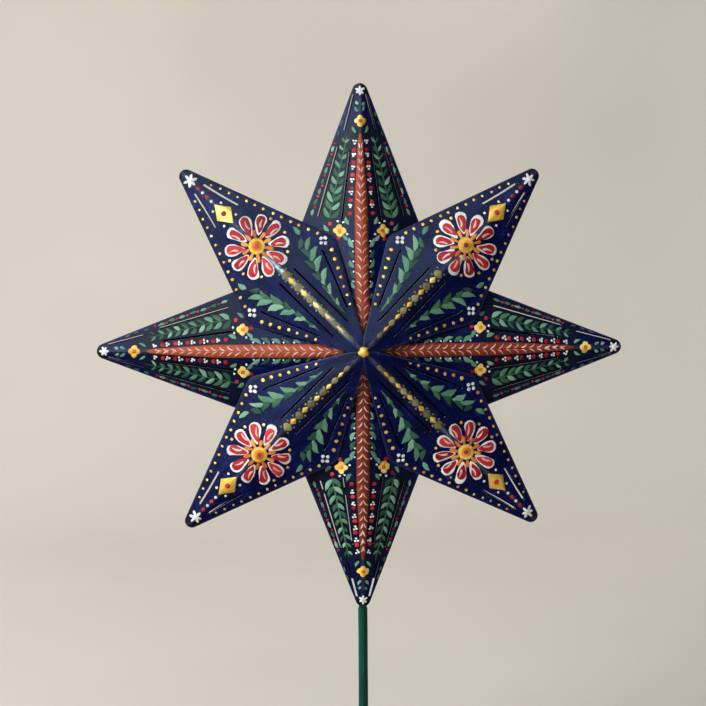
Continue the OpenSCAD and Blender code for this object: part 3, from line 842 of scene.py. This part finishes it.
def diagonal_ornaments():
    """Diagonal rays: a chain on the ridge, leafy tendrils, a large rosette over the fold, and gold beads."""
    brush = Brush(DiagonalFold)
    x = np.arange(9.5, 45, 3.4)
    size = np.interp(x, [9, 45], [0.9, 2.1])
    link = bowed(pairs(x - 1.65, 0), pairs(x + 1.65, 0))
    brush.ridge("olive", link[::2], size[::2], "leaf")
    brush.ridge("gold", link[1::2], size[1::2] * 0.7, "lozenge")
    brush.dots("olive", pairs(x[3:] + 1.7, size[3:] * 0.75 + 0.4), 0.4)

    ends = np.array([[16.5, 6.2], [31.0, 7.4], [44.0, 13.4]])
    brush.paint("forest", curve(ends, STEPS)[None], 0.4, "line")
    root = curve(ends, [0.12, 0.3, 0.48, 0.66, 0.84])
    size = np.array([3.0, 4.6, 6.2, 7.0, 6.4])
    outer = sprout(root, [34, 44, 52, 58, 62], size, -0.16)
    inner = sprout(root + [1.2, 0], [-4, -6, -8, -6, 0], size * 0.85, 0.16)
    brush.paint("sage", outer, size * 0.21, "leaf", layer=1)
    brush.paint("forest", inner, size * 0.2, "leaf", layer=1)
    brush.paint("sage", bowed([43.5, 13.0], [48.0, 17.6], -0.1), 1.0, "leaf", layer=1)

    brush.dots("gold", brush.at(np.arange(17, 38, 3.4), 0.87), np.linspace(0.5, 0.75, 7))
    brush.dots("white", [42.6, 20.6] - 1.35 * CROSS, 0.72)

    bloom = [60.0, 0.0]
    turn = np.arange(18.0, 180.0, 36.0)
    for colour, low, high, width, layer in (("white", 4.6, 13.4, 2.75, 0), ("red", 5.2, 12.5, 2.1, 1)):
        petal = radial(bloom, turn, low, high)
        brush.paint(colour, petal, width, "petal", layer=layer, columns=5, crown=0.1)
    brush.paint("blush", radial(bloom, turn + 4.5, 7.4, 11.4, -0.12), 0.42, "comma", layer=2)
    brush.paint("orange", radial(bloom, [36, 72, 108, 144], 2.4, 6.6), 0.85, "petal", layer=2)
    spoke = bowed([(66.6, 0), (53.4, 0)], [(62.4, 0), (57.6, 0)])
    brush.paint("orange", spoke, 0.7, "leaf", layer=2, on_ridge=True)
    for layer, (colour, radius) in enumerate((("yellow", 3.3), ("orange", 2.1), ("rust", 1.0)), 2):
        brush.ridge_dots(colour, bloom[:1], radius, layer)
    brush.dots("gold", reach_from(bloom, [72, 108, 144], 12.6), 0.6)

    leaf = sprout([(47.2, 11.4), (50.8, 15.2)], [58, 12], 4.4, 0.1)
    brush.leaves(("forest", "sage"), leaf, 1.0)

    brush.ridge("gold", bowed([73.4, 0], [84.2, 0]), 3.9, "lozenge", crown=0.2)
    brush.ridge_dots("red", [78.8], 1.1, layer=2)
    brush.dots("white", [(75.0, 3.4), (82.6, 2.5)], 0.5)
    brush.ridge_dots("white", [86.0, 91.0], 0.6)
    brush.ridge_dots("red", [88.5, 93.5], 0.8)

    x = np.arange(46.5, 92, 3.7)
    brush.dots("gold", pairs(x, brush.fold.half_width(x) - 1.9), np.interp(x, [46, 92], [0.62, 0.45]))
    snowflake(brush, 98.2, 2.8, 0.52)
    return brush


def paint_side(side_name):
    """Paints every ray of one side and joins the strokes of each colour into one piece."""
    side = SIDES[side_name]
    kept = {}
    main_brush, short_brush = main_ornaments(BAND_END), main_ornaments(SLOT_START - 1.6)
    for way, angle in WAYS_MAIN.items():
        slotted = side < 0 and way == "bottom"
        lay_strokes(short_brush if slotted else main_brush, angle, side, slotted, kept)
    diagonal_brush = diagonal_ornaments()
    for angle in WAYS_DIAGONAL.values():
        lay_strokes(diagonal_brush, angle, side, False, kept)
    for colour, parts in kept.items():
        points, faces, uv, tint = zip(*parts)
        starts = np.cumsum([0] + [len(part) for part in points[:-1]])
        faces = np.concatenate([part + start for part, start in zip(faces, starts)])
        floats = {"tint": np.concatenate(tint)}
        name = f"{side_name}_{colour}_strokes"
        points, uv = np.concatenate(points), np.concatenate(uv)
        piece = make_piece(name, points, faces, [PAINTS[colour]], None, uv, floats, sharp=1.2)
        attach(piece, "star")


for side_name in SIDES:
    paint_side(side_name)


# Gold caps and the coated stake

CAP_POINTS = 36
CAP_TINT = 0.6
STAKE_POINTS = 40

# Height on the stake at which its neck starts
STAKE_NECK = 149.0


def closed_lathe(radius, place_along):
    """Vertices and quads of a turned shape: rings of even points, with fans of quads at both ends.

    radius has the shape (rings, points) and place_along (rings,); the axis is local z.
    """
    rings, count = radius.shape
    turn = np.arange(count) * 2 * math.pi / count
    along = np.broadcast_to(place_along[:, None], radius.shape)
    points = np.stack([radius * np.cos(turn), radius * np.sin(turn), along], axis=-1)
    ends = np.array([[0, 0, place_along[0]], [0, 0, place_along[-1]]])
    index = np.arange(rings * count).reshape(rings, count)
    after = np.roll(index, -1, axis=1)
    sides = np.stack([index[:-1], after[:-1], after[1:], index[1:]], axis=-1).reshape(-1, 4)
    even = np.arange(0, count, 2)
    fans = []
    for ring, centre, step in ((0, rings * count, -1), (rings - 1, rings * count + 1, 1)):
        three = [index[ring, (even + k) % count] for k in range(3)]
        fans.append(np.stack([np.full(len(even), centre), *three[::step]], axis=-1))
    return np.concatenate([points.reshape(-1, 3), ends]), np.concatenate([sides, *fans])


def make_cap(node, side):
    """Dab of gold paint over the end of the tie rod: a low dome, wavy round its foot.

    radius = foot radius cos(s)^0.7 (1 + waves round the foot) and height = rise sin(s), with s from 0 to a
    right angle.
    """
    low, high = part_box(node)
    foot = (high.x - low.x) / 2 / MM
    rise = (high.y - low.y) / MM
    s = np.concatenate([[0, 0], np.linspace(0.12, math.pi / 2 - 0.05, 9)])
    turn = np.arange(CAP_POINTS) * 2 * math.pi / CAP_POINTS
    waves = 0.06 * np.cos(3 * turn + 1 + side) + 0.08 * np.cos(5 * turn + 2) + 0.03 * np.cos(8 * turn)
    edge = np.cos(s) ** 0.7
    radius = foot * 0.86 * edge[:, None] * (1 + waves * edge[:, None])
    along = rise * np.sin(s) * 0.98 + rise * 0.02
    along[0] = 0
    points, faces = closed_lathe(radius, along)
    uv = points[:, :2] / PAINT_UNIT
    base = low.y if side < 0 else high.y
    points = points[:, [0, 2, 1]] * [MM, -side * MM, MM] + [STAR_X, base, STAR_Z]
    floats = {"tint": np.full(len(points), CAP_TINT)}
    faces = faces[:, ::side]
    piece = make_piece(f"{node}_dab", points, faces, [PAINTS["gold"]], None, uv, floats, sharp=1.2)
    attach(piece, "star")
    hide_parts(node)


def make_stake():
    """Plastic coat of the stake with its pointed foot and rounded end, turned in one piece.

    The radius follows straight runs between the foot's point, the stake, its neck and its end; a faint wave
    along it and round it keeps the look of a dipped and drawn coat.
    """
    foot_low, foot_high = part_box("stake_foot")
    coat_low, coat_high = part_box("stake_coat")
    cap_low, cap_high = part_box("stake_cap")
    wide = (coat_high.x - coat_low.x) / 2 / MM
    neck = (cap_high.x - cap_low.x) / 2 / MM
    foot, shoulder, end = foot_low.z / MM, foot_high.z / MM, cap_high.z / MM
    heights = [foot, foot + 0.15, foot + 0.5, shoulder, shoulder + 0.6, STAKE_NECK - 0.2, STAKE_NECK]
    heights += [end - 0.9, end - 0.45, end - 0.12, end]
    radii = [0.2, 0.42, 0.6, wide - 0.03, wide, wide, neck, neck, neck - 0.18, neck - 0.5, neck - 0.9]
    runs = [np.linspace(shoulder + 1, STAKE_NECK - 0.5, 70), np.linspace(STAKE_NECK + 1, end - 1, 30)]
    z = np.unique(np.concatenate([heights, *runs]))
    turn = np.arange(STAKE_POINTS) * 2 * math.pi / STAKE_POINTS
    wave = np.sin(z * 0.31)[:, None] * np.cos(turn + 0.7)
    radius = np.interp(z, heights, radii)[:, None] - 0.02 * (1 + wave)
    points, faces = closed_lathe(radius, z)
    points = points * MM + [(coat_low.x + coat_high.x) / 2, (coat_low.y + coat_high.y) / 2, 0]
    piece = make_piece("stake_skin", points, faces, [STAKE_GREEN], sharp=0.5)
    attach(piece, "stake")
    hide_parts("stake_coat", "stake_foot", "stake_cap")


make_cap("front_cap", 1)
make_cap("back_cap", -1)
make_stake()


# Stage, light and camera, in metres

EVEN_PAPER = srgb(204, 198, 187)
DIM_ROOM = srgb(118, 115, 109)
STAGE_FRONT = -3.0
STAGE_HALF = 3.5
STAGE_STEP = 0.05
WALL_Y = 1.3
WALL_HIGH = 2.6
BEND_R = 0.5
FAR_START = 0.3
FAR_RUN = 0.5


def shown_rays(nodes):
    """Sockets of an even paper: 1 for rays that show it, 1 for glossy rays, and its colour for each."""
    rays = nodes.node("ShaderNodeLightPath").node.outputs
    glossy = rays["Is Glossy Ray"]
    shown = nodes.math("MAXIMUM", rays["Is Camera Ray"], glossy)
    shown = nodes.math("MAXIMUM", shown, rays["Is Transmission Ray"])
    return shown, glossy, nodes.mix(glossy, EVEN_PAPER, DIM_ROOM)


def studio_paper():
    """Plain warm paper: lit near the object and behind it, with an even colour of its own further off."""
    finish = Finish("studio_paper", roughness=0.9, specular=0.1)
    clouds = finish.noise(3, detail=2)
    finish.link(finish.ramp(clouds, (0.3, (195, 189, 179)), (0.7, (200, 194, 184))), "Base Color")
    shown, glossy, tone = shown_rays(finish)
    even = finish.node("ShaderNodeEmission", {"Color": tone})
    share = finish.math("MAXIMUM", finish.times(shown, finish.attribute("far")), glossy)
    finish.show(share, finish.shader.outputs["BSDF"], even, "Material Output")
    return finish.material


def make_stage():
    """Floor and backdrop in one sweep: a flat floor, a quarter circle and an upright wall, carried along x.

    far grows from 0 to 1, as 3 t^2 - 2 t^3, with the distance on the unrolled paper from the line that runs
    from the foot of the stake to the top of the bend behind it.
    """
    bend_y = WALL_Y - BEND_R
    turn = np.linspace(0, math.pi / 2, 16)
    floor_run = np.arange(STAGE_FRONT, bend_y, STAGE_STEP)
    wall_rise = np.arange(BEND_R + STAGE_STEP, WALL_HIGH, STAGE_STEP)
    run = np.concatenate([floor_run, bend_y + BEND_R * np.sin(turn), 0 * wall_rise + WALL_Y])
    rise = np.concatenate([0 * floor_run, BEND_R - BEND_R * np.cos(turn), wall_rise])
    steps = np.cumsum(np.hypot(np.diff(run), np.diff(rise)))
    along = np.concatenate([[STAGE_FRONT], STAGE_FRONT + steps])
    x, y = np.meshgrid(np.arange(-STAGE_HALF, STAGE_HALF + STAGE_STEP, STAGE_STEP), run)
    z = np.broadcast_to(rise[:, None] + LOWEST_Z, x.shape)
    past = along - np.clip(along, RIM_Y, bend_y + BEND_R * math.pi / 2)
    t = np.clip((np.hypot(x - STAR_X, past[:, None]) - FAR_START) / FAR_RUN, 0, 1)
    floats = {"far": (t**2 * (3 - 2 * t)).ravel()}
    index = np.arange(x.size).reshape(x.shape)
    corners = [index[:-1, :-1], index[:-1, 1:], index[1:, 1:], index[1:, :-1]]
    faces = np.stack(corners, axis=-1).reshape(-1, 4)
    points = np.stack([x, y, z], axis=-1).reshape(-1, 3)
    paper = make_piece("studio_sweep", points, faces, [studio_paper()], floats=floats, sharp=1.5)


def add_area(name, spot, aim, size, power, colour):
    """Square soft light at a spot, given from the star's centre height, that faces a point."""
    data = bpy.data.lights.new(name, "AREA")
    data.size = size
    data.energy = power
    data.color = colour
    lamp = add_object(name, data)
    lamp.location = (spot[0], spot[1], STAR_Z + spot[2])
    lamp.rotation_mode = "QUATERNION"
    lamp.rotation_quaternion = (Vector(aim) - lamp.location).to_track_quat("-Z", "Y")
    return lamp


def make_light():
    """Key light from the upper left, two that only show as sheen, and two for the wall and the back."""
    star = (STAR_X, RIM_Y, STAR_Z)
    warm, cool, pale_blue = (1.0, 0.99, 0.97), (0.97, 0.99, 1.0), (0.73, 0.95, 1.0)
    add_area("key_light", (-1.0, -0.92, 0.84), star, 0.8, 26.0, cool)
    for name, spot in (("top_sheen", (-0.15, -1.21, 0.87)), ("left_sheen", (-0.89, -1.18, 0.24))):
        add_area(name, spot, star, 0.6, 18.0, pale_blue).visible_diffuse = False
    wall_light = add_area("wall_light", (-1.3, 0.1, 0.3), (0.0, WALL_Y, STAR_Z), 0.8, 16.0, warm)
    wall_light.visible_glossy = False
    add_area("back_light", (0.5, 0.9, 0.9), star, 0.8, 8.0, warm)


def make_world():
    """World that lights the object weakly, and shows the paper's colour to the camera and in reflections."""
    world = bpy.data.worlds.new("studio")
    bpy.context.scene.world = world
    nodes = Nodes(world)
    weak = nodes.tree.nodes["Background"]
    weak.inputs["Color"].default_value = srgb(232, 231, 228)
    weak.inputs["Strength"].default_value = 0.16
    shown, _, tone = shown_rays(nodes)
    paper = nodes.node("ShaderNodeBackground", {"Color": tone})
    nodes.show(shown, weak.outputs["Background"], paper, "World Output")


# Camera found from the star's tips, corners and centre in a 706 pixel square frame
FRAME_PX = 706
FOCAL_PX = 1144
SENSOR_MM = 36
CAMERA_MM = 475
CAMERA_SIDE = math.radians(-2.5)
CAMERA_UP = math.radians(3.8)
CAMERA_ROLL = math.radians(-0.37)
CENTRE_PX = (361.4, 348.75)


def make_camera():
    """Camera that looks at the star's centre, with the small shift that puts it on its pixel."""
    data = bpy.data.cameras.new("camera")
    camera = add_object("camera", data)
    data.sensor_width = SENSOR_MM
    data.lens = SENSOR_MM * FOCAL_PX / FRAME_PX
    data.shift_x = 0.5 - CENTRE_PX[0] / FRAME_PX
    data.shift_y = CENTRE_PX[1] / FRAME_PX - 0.5
    data.clip_start = 0.01
    data.clip_end = 50
    aim = Matrix.Rotation(CAMERA_SIDE, 4, "Z") @ Matrix.Rotation(math.pi / 2 - CAMERA_UP, 4, "X")
    aim = aim @ Matrix.Rotation(CAMERA_ROLL, 4, "Z") @ Matrix.Translation((0, 0, CAMERA_MM * MM))
    camera.matrix_world = Matrix.Translation((STAR_X, RIM_Y, STAR_Z)) @ aim
    bpy.context.scene.camera = camera


make_stage()
make_light()
make_world()
make_camera()
bpy.context.scene.view_settings.view_transform = "Standard"

# Finishes of the pieces that stay CAD solids
STEEL_NODES = ("tie_rod", "front_spacer", "back_spacer", "front_sleeve", "back_sleeve", "socket_tube")
STEEL_NODES += ("stop_plug", "stake_core")
# The saddle inside the star takes the near-black inner finish too: painted shade, so it stays dark through
# the slits
INNER_NODES = {STEEL: STEEL_NODES, INNER_SHADE: ("tube_saddle",), NYLON: ("grip_bush",)}
for material, node_names in INNER_NODES.items():
    for node_name in node_names:
        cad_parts[node_name].data.materials.clear()
        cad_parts[node_name].data.materials.append(material)
